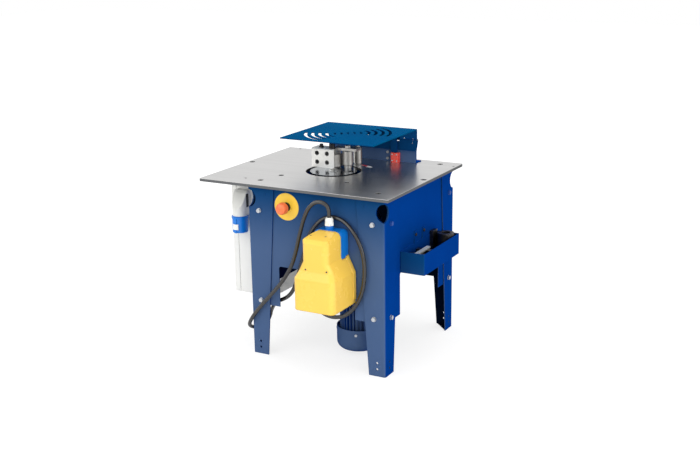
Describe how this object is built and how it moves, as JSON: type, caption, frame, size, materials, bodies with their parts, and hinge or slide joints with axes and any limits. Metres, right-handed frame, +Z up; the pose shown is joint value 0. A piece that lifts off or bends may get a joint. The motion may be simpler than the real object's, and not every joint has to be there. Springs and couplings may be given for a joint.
{
  "type": "stand-mounted bar bending machine",
  "caption": "Stand-mounted steel bar bending machine: geared motor, bending disc with roller tooling, hinged guard, foot pedal.",
  "frame": {"origin": "centre of the four floor anchor holes, on the floor", "axes": "+X to the right along the front, +Y to the rear (the guard's hinge side), +Z up"},
  "size_m": [0.759, 0.7, 0.712],
  "materials": {
    "blue_paint": "gloss",
    "guard_paint": "gloss",
    "ground_steel": "satin",
    "tool_steel": "satin",
    "zinc": "satin",
    "black_plastic": "matte",
    "yellow_plastic": "semi-gloss",
    "blue_plastic": "matte",
    "red_plastic": "gloss",
    "white_plastic": "matte",
    "grey_plastic": "matte",
    "yellow_film": "satin",
    "cable_rubber": "matte",
    "marker_paint": "satin"
  },
  "bodies": {
    "machine": {"table_plate": "ground_steel", "leg_front_left": "blue_paint", "leg_front_right": "blue_paint", "leg_rear_left": "blue_paint", "leg_rear_right": "blue_paint", "front_panel": "blue_paint", "rear_panel": "blue_paint", "left_panel": "blue_paint", "right_panel": "blue_paint", "frame_bolts": "zinc", "frame_nuts": "zinc", "table_screws": "zinc", "gearbox_housing": "blue_paint", "gearbox_bolts": "zinc", "back_pin": "tool_steel", "motor_body": "blue_paint", "fan_cowl": "blue_paint", "cowl_screws": "zinc", "terminal_box": "blue_paint", "guard_bracket": "blue_paint", "guard_angle": "blue_paint", "hinge_pin": "ground_steel", "guard_screws": "zinc", "interlock_switch": "red_plastic", "estop_label": "yellow_film", "estop_collar": "black_plastic", "pedal_base": "blue_plastic", "pedal_hood": "yellow_plastic", "pedal_pin": "zinc", "pedal_gland": "white_plastic", "pedal_hook": "ground_steel", "pedal_cable": "cable_rubber", "cable_gland": "black_plastic", "enclosure_base": "white_plastic", "enclosure_cover": "white_plastic", "control_gear": "grey_plastic", "inlet_housing": "grey_plastic", "inlet_collar": "blue_plastic", "accessory_tray": "blue_paint", "tray_tools": "tool_steel", "index_pointer": "marker_paint"},
    "rotor": {"rotor_shaft": "ground_steel", "cooling_fan": "black_plastic"},
    "disc_head": {"output_shaft": "ground_steel", "bending_disc": "ground_steel", "disc_bolts": "zinc", "centre_pin": "tool_steel", "bending_block": "tool_steel", "backing_plate": "tool_steel", "block_screws": "tool_steel", "jaw_wedge": "tool_steel", "roller_pin": "tool_steel", "bridge_plate": "tool_steel"},
    "bend_roller": {"bending_roller": "tool_steel"},
    "back_roller_body": {"back_roller": "tool_steel"},
    "guard": {"guard_plate": "guard_paint", "guard_tongue": "blue_paint"},
    "estop_push_body": {"estop_plunger": "black_plastic"},
    "estop_head": {"estop_mushroom": "red_plastic"},
    "treadle": {"pedal_treadle": "black_plastic"}
  },
  "joints": [
    {"name": "motor_spin", "type": "hinge", "parent": "machine", "child": "rotor", "pos_m": [0.065, -0.095, 0.2], "axis": [0, 0, 1], "range_deg": [0, 18000]},
    {"name": "disc_turn", "type": "hinge", "parent": "machine", "child": "disc_head", "pos_m": [-0.077, 0.002, 0.58], "axis": [0, 0, 1], "range_deg": [0, 180]},
    {"name": "bend_roller_spin", "type": "hinge", "parent": "disc_head", "child": "bend_roller", "pos_m": [-0.05377, 0.05949, 0.62], "axis": [0, 0, 1], "continuous": true},
    {"name": "back_roller_spin", "type": "hinge", "parent": "machine", "child": "back_roller_body", "pos_m": [-0.058, 0.14, 0.62], "axis": [0, 0, 1], "continuous": true},
    {"name": "guard_lift", "type": "hinge", "parent": "machine", "child": "guard", "pos_m": [0, 0.233, 0.672], "axis": [-1, 0, 0], "range_deg": [0, 100]},
    {"name": "estop_push", "type": "slide", "parent": "machine", "child": "estop_push_body", "axis": [0, 1, 0], "range_m": [0, 0.005], "stiffness_N_per_m": 2000},
    {"name": "estop_twist", "type": "hinge", "parent": "estop_push_body", "child": "estop_head", "pos_m": [-0.104, -0.28, 0.524], "axis": [0, 1, 0], "range_deg": [0, 45], "stiffness_Nm_per_rad": 0.3},
    {"name": "pedal_press", "type": "hinge", "parent": "machine", "child": "treadle", "pos_m": [0.074, -0.3, 0.33], "axis": [1, 0, 0], "range_deg": [0, 10], "stiffness_Nm_per_rad": 1.5}
  ],
  "couplings": [
    {"joint": "disc_turn", "follows": "motor_spin", "ratio": 0.01}
  ]
}
